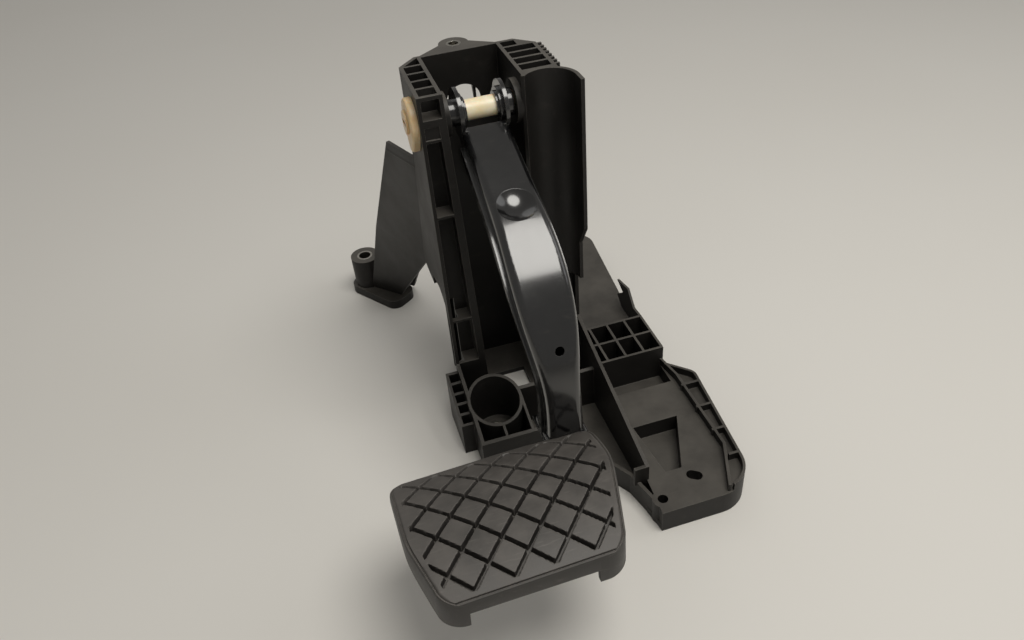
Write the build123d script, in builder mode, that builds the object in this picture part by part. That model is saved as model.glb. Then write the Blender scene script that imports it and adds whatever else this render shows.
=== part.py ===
from build123d import *
import os
from math import cos, hypot, radians, sin, tan

# A car's brake pedal: a ribbed plastic bearing bracket that lies on its bulkhead side, a hollow
# two-shell steel arm that swings on a plastic pin between the bracket's two towers, and a rubber pad.
# Frame: the origin is the centre of the lower stud hole on the bulkhead plane. X runs along the pivot,
# Y from the pad's end to the pivot's end, Z away from the bulkhead towards the driver. Millimetres.

# Bracket: walls and towers
wall = 2.4
rib = 1.8
base_thickness = 4.0
pivot_x = 22.0
pivot_y = 50.0
pivot_height = 237.0
tower_rise = 21.0
tower_gap = 50.0
tower_front = 17.0
tower_back = 45.0
left_tower_width = 16.0
left_tower_spread = 8.0
right_tower_width = 24.0
tower_corner = 12.0
cell_count = 5
cell_floor = 112.0
window_height = 12.6
panel_rim = 5.0
panel_depth = 1.2
panel_drops = [18.0, 28.0, 82.0, 168.0, 208.0]
boss_radius = 14.0
boss_reach = 4.0
back_hole_radius = 12.0
back_hole_drop = 14.0
arch_height = 104.0
arch_run = 24.0
arch_fall = 8.0
arch_rise = 18.0
arch_bulge_run = 9.0
arch_bulge_drop = 4.0
lug_reach = 11.0
lug_radius = 10.0
lug_thickness = 6.0
lug_hole_radius = 3.3
gusset_height = 33.0
tooth_count = 8
tooth_pitch = 5.0
tooth_reach = 3.0
tooth_height = 45.0

# Bracket: shield and its trough in front of the right tower
trough_set_in = 3.0
trough_depth = 6.0
trough_middle = 15.0
trough_edge = 10.0
trough_bottom = 106.0
shield_depth = 34.0
shield_bottom = 153.0

# Bracket: the box round the lower stud
ring_radius = 19.8
ring_wall = 2.1
stud_hole_radius = 5.2
seat_radius = 9.0
seat_height = 5.0
box_front = 30.0
box_right = 36.0
box_front_height = 27.0
box_slope = 0.36
ladder_width = 9.0
ladder_front = 8.0
ladder_low = 27.0
ladder_high = 44.0
ladder_rungs = 6
passage_front = 5.0
passage_back = 62.0
passage_left = 8.0
passage_right = 39.0

# Bracket: side wall and tray
side_wall_x = 78.0
side_wall_end = 91.0
side_wall_end_height = 31.0
side_wall_back_height = 64.0
side_wall_set_back = 13.0
end_flange = 9.0
deck_height = 18.0
deck_plate = 2.5
tray_front = 120.0
tray_left = 76.0
tray_front_right = 142.0
tray_shoulder = 152.0
tray_shoulder_y = -12.0
tray_waist = 136.0
tray_waist_y = 4.0
tray_waist_back = 60.0
tray_right_back = 149.0
tray_back = 205.0
tray_front_corner = 24.0
tray_back_corner = 18.0
shoulder_corner = 9.0
skirt_knee = (63.0, -71.0)
skirt_foot = (70.0, -83.0)
rail_height = 6.0
rail_rungs = 4
rail_pitch = 24.0
sink_floor = 6.0
sink_front = -10.0
grid_front = 10.0
grid_back = 50.0
grid_height = 35.0
grid_columns = 4
grid_rows = 2
hook_foot = 13.0
hook_peak = 25.0
hook_notch = 34.0
hook_reach = 46.0
hook_rise = 10.0
tray_hole_radius = 3.5
tray_hole_x = 5.0
tray_hole_y = 11.0
tray_slot_length = 11.0
tray_slot_width = 7.5
tray_slot_x = 33.0
tray_slot_y = 22.0
tray_slot_turn = -35.0
pocket_middle = 105.0
pocket_far = -44.0
pocket_near = -89.0
pocket_far_half = 17.0
pocket_near_left = 13.0
pocket_near_right = 1.0
pocket_floor = 4.4
fixing_boss_radius = 11.0
rear_fixing_x = 118.0
rear_fixing_y = 180.0

# Bracket: wing and foot on the left
wing_top = 196.0
wing_knee = 92.0
wing_top_inset = 18.0
wing_top_out = 13.0
wing_top_back = 17.0
wing_knee_in = 16.0
wing_knee_out = 27.0
wing_knee_back = 81.0
wing_cap_drop = 6.0
wing_rib_gap = 9.0
wing_rib_set = 10.0
wing_rib_back = 30.0
foot_x = -58.0
foot_y = 222.0
foot_turn = 125.5
foot_toe = 45.0
foot_heel = 13.0
foot_width = 28.0
foot_corner = 9.0
foot_thickness = 8.0
foot_boss_radius = 12.5
foot_boss_height = 36.0
wing_foot_near = (22.0, -30.0)
wing_foot_far = (0.0, -9.0)

# Stop behind the arm
stop_gap = 0.4
stop_width = 6.0
stop_front = 14.0
stop_back = 2.0
stop_depth = 22.0

# Pivot
pin_radius = 6.5
pin_clearance = 0.05
pin_head_radius = 14.5
pin_head_thickness = 5.0
pin_tail_drop = 13.0
pin_tail_radius = 7.0
pin_hub_radius = 7.5
pin_hub_height = 1.5
pin_key_width = 3.0
pin_key_length = 9.0
pin_end_reach = 5.0
clip_thickness = 1.6
clip_radius = 9.5
bush_radius = 8.5
bush_flange_radius = 11.0
bush_flange_thickness = 2.0
bush_collar = 1.5
bush_side_play = 0.5

# Pedal arm: two pressed shells
sheet = 2.4
arm_half_width = 15.5
arm_belly = 1.5
arm_neck = 4.0
arm_depth = 26.0
arm_split = 13.0
arm_rake = 21.5
arm_set_back = 1.9
arm_straight = 77.0
arm_shoulder = 4.5
arm_rear_shoulder = 3.0
arm_start = 12.5
rear_start = 17.5
arm_levels = [0.21, 0.39, 0.58, 0.79]
weld_flange = 2.2
ear_radius = 15.5
dish_radius = 12.0
dish_depth = 4.0
drain_radius = 2.9
drain_angle = 25.0
drain_offset = 1.0
socket_along = 41.0
socket_radius = 10.0
socket_flange = 2.5
socket_rim = 1.5
socket_length = 12.0
ball_radius = 8.0

# Foot plate and pad
pad_reach = 48.5
pad_top = 96.0
pad_tilt = 3.0
pad_arm_offset = 46.0
pad_near = 45.0
pad_far_left = 41.0
pad_far_right = 36.0
pad_far_middle = 50.5
pad_top_left = 65.0
pad_top_right = 60.5
pad_bottom_left = 54.5
pad_bottom_right = 44.0
pad_corner = 9.0
pad_edge = 2.0
pad_cover = 8.0
pad_skirt = 3.0
pad_wrap = 2.5
pad_lip = 3.0
leg_length = 10.0
leg_width = 14.0
leg_side = 40.0
plate_thickness = 3.0
tab_gap = 0.3
tab_reach = 2.0
tab_overlap = 20.0
groove_across = 21.7
groove_turn = 38.6
groove_x = 9.0
groove_y = -12.3
groove_width = 2.2
groove_depth = 1.7
groove_margin = 6.0
groove_count = 16

# Compression sleeves
sleeve_wall = 1.6

# Places worked out from the sizes above
past = 1.0
tower_height = pivot_height + tower_rise
left_inner = pivot_x - tower_gap / 2
left_outer = left_inner - left_tower_width
right_inner = pivot_x + tower_gap / 2
right_outer = right_inner + right_tower_width
front_y = pivot_y - tower_front
back_y = pivot_y + tower_back
tower_depth = tower_front + tower_back
hollow_top = cell_floor - wall
pivot = (pivot_y, pivot_height)
pin_bore = pin_radius + pin_clearance
sleeve_radius = stud_hole_radius + sleeve_wall
rim_height = box_front_height + box_slope * (front_y + box_front)
rake = radians(arm_rake)


def across(y):
    """Plane parallel to XZ at a place along Y, facing the pad's end."""
    return Plane.XZ.offset(-y)


def along(x):
    """Plane parallel to YZ at a place along X, facing +X."""
    return Plane.YZ.offset(x)


def level(z):
    """Plane parallel to the bulkhead at a height."""
    return Plane.XY.offset(z)


def slab(plane, outline, depth, mode=Mode.ADD):
    """Extrude a straight-sided outline along its plane's normal."""
    with BuildSketch(plane) as face:
        with BuildLine():
            Polyline(*outline, close=True)
        make_face()
    extrude(face.sketch, amount=depth, mode=mode)


def disc(plane, centre, radius, depth, mode=Mode.ADD):
    """Extrude a circle along its plane's normal."""
    with BuildSketch(plane) as face:
        with Locations(centre):
            Circle(radius)
    extrude(face.sketch, amount=depth, mode=mode)


def block(low, high, mode=Mode.ADD):
    """Box between two corners."""
    outline = [(low[0], low[1]), (high[0], low[1]), (high[0], high[1]), (low[0], high[1])]
    slab(level(low[2]), outline, high[2] - low[2], mode)


def left_inner_at(z):
    """Inner face of the left tower, which spreads towards the bulkhead."""
    return left_inner + left_tower_spread * (1 - z / tower_height)


def left_section(low, high, outer_inset, inner_inset):
    """Outline of the left tower seen from the front, between two heights, set in from its faces."""
    return [
        (left_outer + outer_inset, low),
        (left_outer + outer_inset, high),
        (left_inner_at(high) - inner_inset, high),
        (left_inner_at(low) - inner_inset, low),
    ]


def box_rim(y):
    """Height of the sloping rim of the stud box."""
    return box_front_height + box_slope * (y + box_front)


# Left tower: cells open upwards, a hollow below them, and a ribbed channel down its front
left_cell = (tower_depth - 2 * wall - (cell_count - 1) * rib) / cell_count
channel_depth = wall + left_cell
window_top = tower_height - wall

with BuildPart() as left_cells:
    for cell in range(1, cell_count):
        cell_back = front_y + wall + cell * (left_cell + rib) + left_cell
        slab(across(cell_back), left_section(cell_floor, tower_height, wall, wall), left_cell)
    hollow_depth = tower_depth - 2 * wall - channel_depth
    slab(across(back_y - wall), left_section(0, hollow_top, wall, wall), hollow_depth)

with BuildPart() as left_channel:
    front_cell = left_section(window_top - window_height, tower_height + past, wall, wall)
    slab(across(front_y + channel_depth), front_cell, left_cell)
    window = left_section(window_top - window_height, window_top, wall, wall)
    slab(across(front_y + channel_depth), window, channel_depth + past)
    panels = [
        left_section(tower_height - low, tower_height - high - rib, wall, panel_rim)
        for high, low in zip(panel_drops[:-1], panel_drops[1:])
    ]
    slab(across(front_y + panel_depth), panels[0], panel_depth + past)
    for panel in panels[1:]:
        slab(across(front_y + channel_depth), panel, channel_depth + past)

with BuildPart() as left_tower:
    slab(across(back_y), left_section(0, tower_height, 0, 0), tower_depth)
    add(left_cells.part, mode=Mode.SUBTRACT)
    corner_start = (left_outer, back_y - tower_corner)
    corner_end = (left_outer + tower_corner, back_y)
    slant = wall * 2 ** 0.5
    slab(level(0), [corner_start, corner_end, (left_outer, back_y)], tower_height, Mode.SUBTRACT)
    corner_wall = [
        corner_start,
        corner_end,
        (left_outer + tower_corner + slant, back_y),
        (left_outer, back_y - tower_corner - slant),
    ]
    slab(level(0), corner_wall, tower_height)
    # The outer wall ends in an arch above the bulkhead
    arch_start = front_y + wall
    with BuildSketch(along(left_outer - past)) as arch:
        with BuildLine():
            spring = (arch_start, arch_height - arch_rise)
            crown = (arch_start + arch_run, arch_height)
            Polyline((back_y + past, 0), (arch_start, 0), spring)
            ThreePointArc(spring, (arch_start + arch_bulge_run, arch_height - arch_bulge_drop), crown)
            Polyline(crown, (back_y + past, arch_height - arch_fall), (back_y + past, 0))
        make_face()
    extrude(arch.sketch, amount=left_tower_width / 2, mode=Mode.SUBTRACT)
    disc(along(left_outer), pivot, boss_radius, left_tower_width + boss_reach)
    add(left_channel.part, mode=Mode.SUBTRACT)

# Right tower, with the shield's trough cut into its front
trough_y = front_y + trough_set_in
trough_back = trough_y + trough_depth
trough_end = (side_wall_x, trough_y - trough_edge)
trough_arc = [(right_inner, trough_y), (right_inner + trough_middle, trough_back), trough_end]
cells_front = trough_back + wall
right_cell = (back_y - wall - cells_front - (cell_count - 1) * rib) / cell_count

with BuildPart() as right_cuts:
    for cell in range(cell_count):
        cell_low = cells_front + cell * (right_cell + rib)
        trim = max(0.0, cell_low + right_cell - (back_y - tower_corner))
        block(
            (right_inner + wall, cell_low, cell_floor),
            (right_outer - wall - trim, cell_low + right_cell, tower_height),
        )
    block((right_inner + wall, cells_front, 0), (right_outer - wall, back_y - tower_corner, hollow_top))

with BuildPart() as right_tower:
    right_plan = [
        (right_inner, front_y),
        (right_outer, front_y),
        (right_outer, back_y - tower_corner),
        (right_outer - tower_corner, back_y),
        (right_inner, back_y),
    ]
    slab(level(0), right_plan, tower_height)
    add(right_cuts.part, mode=Mode.SUBTRACT)
    disc(along(right_inner - boss_reach), pivot, boss_radius, right_tower_width + boss_reach)
    with BuildSketch(level(0)) as trough:
        with BuildLine():
            ThreePointArc(*trough_arc)
            Polyline(trough_end, (right_inner, trough_end[1]), (right_inner, trough_y))
        make_face()
    extrude(trough.sketch, amount=tower_height, mode=Mode.SUBTRACT)
    # Shield: the trough's curved wall carried on to the side wall
    with BuildSketch(level(trough_bottom)) as shield:
        with BuildLine():
            ThreePointArc(*trough_arc)
        trace(line_width=wall)
    extrude(shield.sketch, amount=tower_height - trough_bottom)
    # Row of small teeth on the outer face, clear of the pin's clip
    tooth_middle = back_y - tower_corner - tooth_count * tooth_pitch / 2
    with BuildSketch(level(tower_height)) as teeth:
        with Locations((right_outer + tooth_reach / 2 - past / 2, tooth_middle)):
            with GridLocations(1, tooth_pitch, 1, tooth_count):
                Rectangle(tooth_reach + past, rib)
    extrude(teeth.sketch, amount=-tooth_height)
    disc(along(right_outer), pivot, clip_radius + past, tooth_reach + past, Mode.SUBTRACT)

# Stud box: bulkhead plate, walls, access tube and ribs, cut to one sloping rim
plate_plan = [
    (left_outer, -box_front),
    (box_right, -box_front),
    skirt_knee,
    skirt_foot,
    (tray_left, -tray_front + past),
    (side_wall_x + wall, -tray_front + past),
    (side_wall_x + wall, back_y),
    (left_inner_at(0) - wall, back_y),
    (left_inner_at(0) - wall, front_y + wall),
    (left_outer, front_y + wall),
]
box_top = rim_height + past

with BuildPart() as stud_box:
    slab(level(0), plate_plan, base_thickness)
    passage = [
        (ring_radius + wall, passage_front),
        (passage_right, passage_front),
        (passage_right, passage_back),
        (passage_left, passage_back),
        (passage_left, ring_radius + wall),
        (ring_radius + wall, ring_radius + wall),
    ]
    slab(level(-past), passage, base_thickness + 2 * past, Mode.SUBTRACT)
    block((left_outer, -box_front, 0), (left_outer + wall, front_y + past, box_top))
    block((left_outer, -box_front, 0), (box_right + wall, -box_front + wall, box_top))
    block((ring_radius - rib, -box_front + wall / 2, 0), (ring_radius, 0, box_top))
    block((ring_radius - rib, passage_front - wall, 0), (side_wall_x, passage_front, box_top))
    block((-rib / 2, -box_front + wall / 2, 0), (rib / 2, -ring_radius + ring_wall, box_top))
    disc(level(0), (0, 0), ring_radius, box_top)
    disc(level(base_thickness), (0, 0), ring_radius - ring_wall, box_top, Mode.SUBTRACT)
    rim_cut = [
        (-box_front - past, box_rim(-box_front - past)),
        (front_y + 2 * past, box_rim(front_y + 2 * past)),
        (front_y + 2 * past, box_top + 2 * past),
        (-box_front - past, box_top + 2 * past),
    ]
    slab(along(-ring_radius - past), rim_cut, side_wall_x + ring_radius + 2 * past, Mode.SUBTRACT)
    disc(level(0), (0, 0), seat_radius, base_thickness + seat_height)
    # Skirt from the stud box to the tray
    with BuildSketch(level(0)) as skirt:
        with BuildLine():
            Polyline(plate_plan[1], skirt_knee, skirt_foot, (tray_left + wall, -tray_front + wall))
        trace(line_width=wall)
    extrude(skirt.sketch, amount=deck_height)

# Ribbed ladder outside the stud box, lower towards the front
ladder_out = left_outer - ladder_width
ladder_middle = (left_outer - ladder_width / 2, (front_y - ladder_front) / 2)
ladder_pitch = (front_y + ladder_front - rib) / (ladder_rungs - 1)

with BuildPart() as ladder:
    block((ladder_out, -ladder_front, 0), (ladder_out + rib, front_y, ladder_high))
    with BuildSketch(level(0)) as rungs:
        with Locations(ladder_middle):
            with GridLocations(1, ladder_pitch, 1, ladder_rungs):
                Rectangle(ladder_width, rib)
    extrude(rungs.sketch, amount=ladder_high)
    ladder_cut = [
        (-ladder_front - past, ladder_low),
        (front_y + past, ladder_high),
        (front_y + past, ladder_high + past),
        (-ladder_front - past, ladder_high + past),
    ]
    slab(along(ladder_out - past), ladder_cut, ladder_width + 2 * past, Mode.SUBTRACT)

# Tray: a plate with a skirt, open towards the bulkhead, waisted behind its right shoulder
tray_outline = [
    (tray_left, -tray_front),
    (tray_front_right, -tray_front),
    (tray_shoulder, tray_shoulder_y),
    (tray_waist, tray_waist_y),
    (tray_waist, tray_waist_back),
    (tray_right_back, tray_back),
    (side_wall_x, tray_back),
    (side_wall_x, -side_wall_end),
]
sink_right = tray_waist - wall
tray_hole = (tray_left + tray_hole_x, -tray_front + tray_hole_y)
tray_slot = (tray_left + tray_slot_x, -tray_front + tray_slot_y)
rear_fixing = (rear_fixing_x, rear_fixing_y)

with BuildPart() as tray:
    with BuildSketch(level(0)) as tray_plan:
        with BuildLine():
            Polyline(*tray_outline, close=True)
        make_face()
        rounded = [tray_outline[1], tray_outline[2], tray_outline[5]]
        for place, radius in zip(rounded, (tray_front_corner, shoulder_corner, tray_back_corner)):
            fillet(tray_plan.vertices().sort_by_distance(place)[0], radius)
    extrude(tray_plan.sketch, amount=deck_height)
    with BuildSketch(level(0)) as under:
        add(tray_plan.sketch)
        offset(amount=-wall, mode=Mode.REPLACE)
    extrude(under.sketch, amount=deck_height - deck_plate, mode=Mode.SUBTRACT)
    # Rim round the shoulder and the front corner, an inner rail and rungs between them
    rim_span = 2 * (tray_shoulder - tray_waist + shoulder_corner)
    with BuildSketch(level(deck_height)) as rim:
        add(tray_plan.sketch)
        offset(amount=-rib, mode=Mode.SUBTRACT)
        with Locations((tray_shoulder, (tray_waist_y - tray_front) / 2)):
            Rectangle(rim_span, tray_front + tray_waist_y, mode=Mode.INTERSECT)
    extrude(rim.sketch, amount=rail_height)
    rail_x = tray_waist + rib
    rail_path = [
        (tray_waist - rib, grid_front + rib / 2),
        (rail_x, sink_front),
        (rail_x, -tray_front + 2 * tray_back_corner),
        (tray_front_right - tray_back_corner, -tray_front + rib),
    ]
    with BuildSketch(level(deck_height - past)) as rail:
        with BuildLine():
            Polyline(*rail_path)
        trace(line_width=rib)
    extrude(rail.sketch, amount=rail_height + past)
    with BuildSketch(level(deck_height - past)) as rail_steps:
        with Locations(((tray_waist + tray_shoulder) / 2, sink_front - rail_rungs * rail_pitch / 2)):
            with GridLocations(1, rail_pitch, 1, rail_rungs):
                Rectangle(tray_shoulder - tray_waist, rib)
        add(tray_plan.sketch, mode=Mode.INTERSECT)
    extrude(rail_steps.sketch, amount=rail_height + past)
    # Sunken bay with its rib grid
    block((side_wall_x, sink_front - wall, sink_floor - wall), (tray_waist, grid_back + wall, deck_height))
    block(
        (side_wall_x + wall / 2, sink_front, sink_floor),
        (sink_right, grid_back, deck_height + past),
        Mode.SUBTRACT,
    )
    row_pitch = (grid_back - grid_front) / grid_rows
    column_pitch = (tray_waist - side_wall_x) / grid_columns
    for row in range(grid_rows + 1):
        row_y = grid_front + row * row_pitch
        block((side_wall_x, row_y, sink_floor - past), (tray_waist, row_y + rib, grid_height))
    for column in range(1, grid_columns + 1):
        column_x = side_wall_x + column * column_pitch
        block((column_x - rib, grid_front, sink_floor - past), (column_x, grid_back + rib, grid_height))
    # Barbed hook that carries the grid's right wall on to the back
    hook_top = grid_height + hook_rise
    hook = [
        (grid_back, deck_height - past),
        (grid_back, grid_height),
        (grid_back + hook_foot, grid_height - past),
        (grid_back + hook_peak, hook_top),
        (grid_back + hook_reach, hook_top - hook_rise / 2),
        (grid_back + hook_notch, grid_height),
        (grid_back + hook_reach, grid_height - hook_rise),
        (grid_back + hook_notch, deck_height - past),
    ]
    slab(along(tray_waist - rib), hook, rib)
    # Deep trapezoid pocket in the deck
    for grow, low, high, mode in (
        (wall, pocket_floor - wall, deck_height, Mode.ADD),
        (0.0, pocket_floor, deck_height + past, Mode.SUBTRACT),
    ):
        pocket = [
            (pocket_middle - pocket_far_half - grow, pocket_far + grow),
            (pocket_middle + pocket_far_half + grow, pocket_far + grow),
            (pocket_middle - pocket_near_right + grow, pocket_near - grow),
            (pocket_middle - pocket_near_left - grow, pocket_near - grow),
        ]
        slab(level(low), pocket, high - low, mode)
    # Fixing bosses under the deck
    disc(level(0), rear_fixing, fixing_boss_radius, deck_height)
    disc(level(0), tray_hole, 2 * tray_hole_radius, deck_height)
    disc(level(0), tray_slot, tray_slot_length / 2 + wall, deck_height)


def wing_strip(start, end):
    """Corners of a thin strip between two plan points, thickened to its right."""
    run = end - start
    side = run.rotate(Axis.Z, -90).normalized() * wall
    return [(place.X, place.Y) for place in (start, end, end + side, start + side)]


def wing_plate(strips):
    """Ruled plate through thin strips, each given as (height, start, end)."""
    faces = []
    for height, start, end in strips:
        with BuildSketch(level(height)) as strip:
            with BuildLine():
                Polyline(*wing_strip(start, end), close=True)
            make_face()
        faces.append(strip.sketch.face())
    loft(faces, ruled=True)


# Wing: a folded plate from the left tower back to the foot, with two shorter plates behind it
wing_root = left_outer + wall / 2
top_start = Vector(wing_root, back_y - wing_top_inset)
top_end = Vector(left_outer - wing_top_out, back_y + wing_top_back)
knee_start = Vector(wing_root, back_y + wing_knee_in)
knee_end = Vector(left_outer - wing_knee_out, back_y + wing_knee_back)
foot_place = Vector(foot_x, foot_y)
low_start = foot_place + Vector(*wing_foot_near)
low_end = foot_place + Vector(*wing_foot_far)
foot_run = Vector(cos(radians(foot_turn)), sin(radians(foot_turn)))
behind = Vector(foot_run.Y, -foot_run.X)
cap_share = wing_cap_drop / (wing_top - wing_knee)
cap_start = top_start + (knee_start - top_start) * cap_share
cap_end = top_end + (knee_end - top_end) * cap_share

with BuildPart() as wing:
    wing_plate(
        [
            (wing_top, top_start, top_end),
            (wing_knee, knee_start, knee_end),
            (foot_thickness / 2, low_start, low_end),
        ]
    )
    # Web that carries the tower's outer wall back to the wing, and the cap that closes it
    web_top = wing_top - wing_cap_drop
    web = [
        (back_y - tower_corner - slant, wing_knee),
        (back_y - tower_corner - slant, web_top),
        (cap_start.Y + wing_top_inset, web_top),
        (knee_start.Y, wing_knee),
    ]
    slab(along(left_outer), web, wall)
    cap = [
        (cap_start.X, cap_start.Y),
        (cap_end.X, cap_end.Y),
        (left_outer + wall, cap_start.Y + wing_top_inset),
        (left_outer + wall, cap_start.Y),
    ]
    slab(level(web_top - wall), cap, wall)
    for gap in (wing_rib_gap, 2 * wing_rib_gap):
        shift = behind * gap
        rib_start = knee_start + Vector(-wing_rib_set, wing_rib_back) + shift
        wing_plate(
            [
                (wing_knee - gap, rib_start, knee_end + shift),
                (foot_thickness / 2, low_start + shift, low_end + shift),
            ]
        )
    # Foot: a rounded flange with a tall boss at its heel
    foot_middle = foot_place + foot_run * (foot_heel - foot_toe) / 2
    foot_plane = Plane(origin=foot_middle, x_dir=foot_run, z_dir=(0, 0, 1))
    with BuildSketch(foot_plane) as foot:
        RectangleRounded(foot_toe + foot_heel, foot_width, foot_corner)
    extrude(foot.sketch, amount=foot_thickness)
    disc(level(0), (foot_x, foot_y), foot_boss_radius, foot_boss_height)

# Bracket: the towers, the wall and lug between them, the side wall, tray, wing and stop in one moulding
lug_y = back_y + lug_reach
lug_hole = (pivot_x, lug_y)
lug_low = tower_height - lug_thickness
shield_front = pivot_y - shield_depth
arm_back_at_pivot = pivot_height - (arm_set_back + arm_depth) / cos(rake)
stop_top = arm_back_at_pivot - stop_gap

with BuildPart() as bracket:
    add(left_tower.part)
    add(right_tower.part)
    block((left_inner - past, back_y - wall, 0), (right_inner + past, back_y, tower_height))
    back_hole = (pivot_x, pivot_height - back_hole_drop)
    disc(across(back_y + past), back_hole, back_hole_radius, wall + 2 * past, Mode.SUBTRACT)
    with BuildSketch(level(lug_low)) as lug:
        with BuildLine():
            Polyline(
                (left_inner, back_y - wall),
                (right_inner, back_y - wall),
                (right_inner, back_y),
                (pivot_x + lug_radius, lug_y),
                (pivot_x - lug_radius, lug_y),
                (left_inner, back_y),
                close=True,
            )
        make_face()
        with Locations(lug_hole):
            Circle(lug_radius)
            Circle(lug_hole_radius + sleeve_wall, mode=Mode.SUBTRACT)
    extrude(lug.sketch, amount=lug_thickness)
    for side in (-1, 1):
        gusset = [(back_y - past, lug_low), (lug_y, lug_low), (back_y - past, lug_low - gusset_height)]
        slab(along(pivot_x + side * (lug_radius - rib) - rib / 2), gusset, rib)
    add(stud_box.part)
    add(ladder.part)
    # Side wall between the arm and the tray, with the shield's edge above it and a flange on its end
    side_outline = [
        (back_y, 0),
        (back_y, trough_bottom),
        (trough_end[1], shield_bottom),
        (trough_end[1], tower_height),
        (shield_front, tower_height),
        (shield_front, shield_bottom),
        (pivot_y - side_wall_set_back, shield_bottom - shield_depth),
        (pivot_y - side_wall_set_back, side_wall_back_height),
        (-side_wall_end, side_wall_end_height),
        (-side_wall_end, 0),
    ]
    slab(along(side_wall_x - wall / 2), side_outline, wall)
    block(
        (side_wall_x - end_flange, -side_wall_end, deck_height - deck_plate),
        (side_wall_x, -side_wall_end + wall, side_wall_end_height),
    )
    block((right_outer - past, cells_front, 0), (side_wall_x, cells_front + wall, trough_bottom))
    add(tray.part)
    add(wing.part)
    # Stop behind the arm: a web that stands out from the back wall
    stop_web = [
        (back_y - past, stop_top - 2 * stop_depth),
        (back_y - past, stop_top - stop_depth / 3),
        (pivot_y - stop_back, stop_top - stop_back * tan(rake)),
        (pivot_y - stop_front, stop_top - stop_front * tan(rake)),
        (pivot_y - stop_front, stop_top - stop_depth),
    ]
    slab(along(pivot_x - stop_width / 2), stop_web, stop_width)
    # Bores for the pin and the sleeves, and the tray's own hole and slot
    disc(along(left_outer - past), pivot, pin_bore, right_outer - left_outer + 2 * past, Mode.SUBTRACT)
    disc(level(-past), (0, 0), sleeve_radius, rim_height, Mode.SUBTRACT)
    disc(level(-past), (foot_x, foot_y), sleeve_radius, foot_boss_height + 2 * past, Mode.SUBTRACT)
    deck_through = deck_height + 2 * past
    disc(level(-past), rear_fixing, sleeve_radius, deck_through, Mode.SUBTRACT)
    disc(level(-past), tray_hole, tray_hole_radius, deck_through, Mode.SUBTRACT)
    with BuildSketch(level(-past)) as slot:
        with Locations(tray_slot):
            SlotOverall(tray_slot_length, tray_slot_width, rotation=tray_slot_turn)
    extrude(slot.sketch, amount=deck_through, mode=Mode.SUBTRACT)
bracket.part.label = "bracket"


def sleeve(plane, centre, bore, length):
    """Compression sleeve pressed into a fixing hole."""
    disc(plane, centre, bore + sleeve_wall, length)
    disc(plane, centre, bore, length, Mode.SUBTRACT)


with BuildPart() as stud_sleeve:
    sleeve(level(0), (0, 0), stud_hole_radius, base_thickness + seat_height)
stud_sleeve.part.label = "stud_sleeve"

with BuildPart() as foot_sleeve:
    sleeve(level(0), (foot_x, foot_y), stud_hole_radius, foot_boss_height)
foot_sleeve.part.label = "foot_sleeve"

with BuildPart() as rear_sleeve:
    sleeve(level(0), rear_fixing, stud_hole_radius, deck_height)
rear_sleeve.part.label = "rear_sleeve"

with BuildPart() as lug_sleeve:
    sleeve(level(lug_low), lug_hole, lug_hole_radius, lug_thickness)
lug_sleeve.part.label = "lug_sleeve"

# Pivot pin with its tailed head on the left, and the clip on its right end
pin_end = right_outer + pin_end_reach
head_face = left_outer - pin_head_thickness
with BuildPart() as pivot_pin:
    disc(along(left_outer), pivot, pin_radius, pin_end - left_outer)
    with BuildSketch(along(left_outer)) as head:
        with Locations(pivot):
            Circle(pin_head_radius)
        with Locations((pivot_y, pivot_height - pin_tail_drop)):
            Circle(pin_tail_radius)
        make_hull()
    extrude(head.sketch, amount=-pin_head_thickness)
    fillet(pivot_pin.edges().group_by(Axis.X)[0], pin_head_thickness / 3)
    disc(along(head_face), pivot, pin_hub_radius, -pin_hub_height)
    with BuildSketch(along(head_face - pin_hub_height)) as key:
        with Locations(pivot):
            Rectangle(pin_key_length, pin_key_width)
    extrude(key.sketch, amount=pin_hub_height + pin_head_thickness / 3, mode=Mode.SUBTRACT)
pivot_pin.part.label = "pivot_pin"

with BuildPart() as pin_clip:
    disc(along(right_outer), pivot, clip_radius, clip_thickness)
    disc(along(right_outer), pivot, pin_radius, clip_thickness, Mode.SUBTRACT)
pin_clip.part.label = "pin_clip"

# Arm: places on its side profile, measured along the straight run and towards the rear.
# The bend is as large as it takes to come down upright at the pad's height.
arm_run = Vector(0, -cos(rake), -sin(rake))
arm_rear = Vector(0, sin(rake), -cos(rake))
arm_pivot = Vector(pivot_x, pivot_y, pivot_height)
arm_bend = (pivot_height - pad_top - arm_straight * sin(rake)) / cos(rake) - arm_set_back
bend_centre = arm_pivot + arm_run * arm_straight + arm_rear * (arm_set_back + arm_bend)
arm_front_y = bend_centre.Y - arm_bend
plate_level = pad_top - pad_cover
arm_end_z = plate_level - arm_split


def arm_point(distance, inset):
    """Place on the arm's straight run, a depth behind its front face, as (y, z)."""
    place = arm_pivot + arm_run * distance + arm_rear * (arm_set_back + inset)
    return (place.Y, place.Z)


def bend_point(angle, inset):
    """Place on the arm's bend, at an angle above the horizontal, a depth behind its front face."""
    radius = arm_bend - inset
    return (bend_centre.Y - radius * cos(radians(angle)), bend_centre.Z + radius * sin(radians(angle)))


def depth_in_arm(place):
    """How far a place lies behind the arm's front face."""
    from_pivot = place - arm_pivot
    if from_pivot.dot(arm_run) < arm_straight:
        return from_pivot.dot(arm_rear) - arm_set_back
    if place.Z > bend_centre.Z:
        return arm_bend - hypot(place.Y - bend_centre.Y, place.Z - bend_centre.Z)
    return place.Y - arm_front_y


def long_edges(part, depth):
    """A shell's long outer edges at a depth behind the arm's front face."""
    middles = [(edge, edge @ 0.5) for edge in part.edges()]
    near = [edge for edge, middle in middles if abs(depth_in_arm(middle) - depth) < 0.01]
    return [edge for edge in near if abs((edge @ 0.5).X - pivot_x) > arm_half_width / 2]


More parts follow.
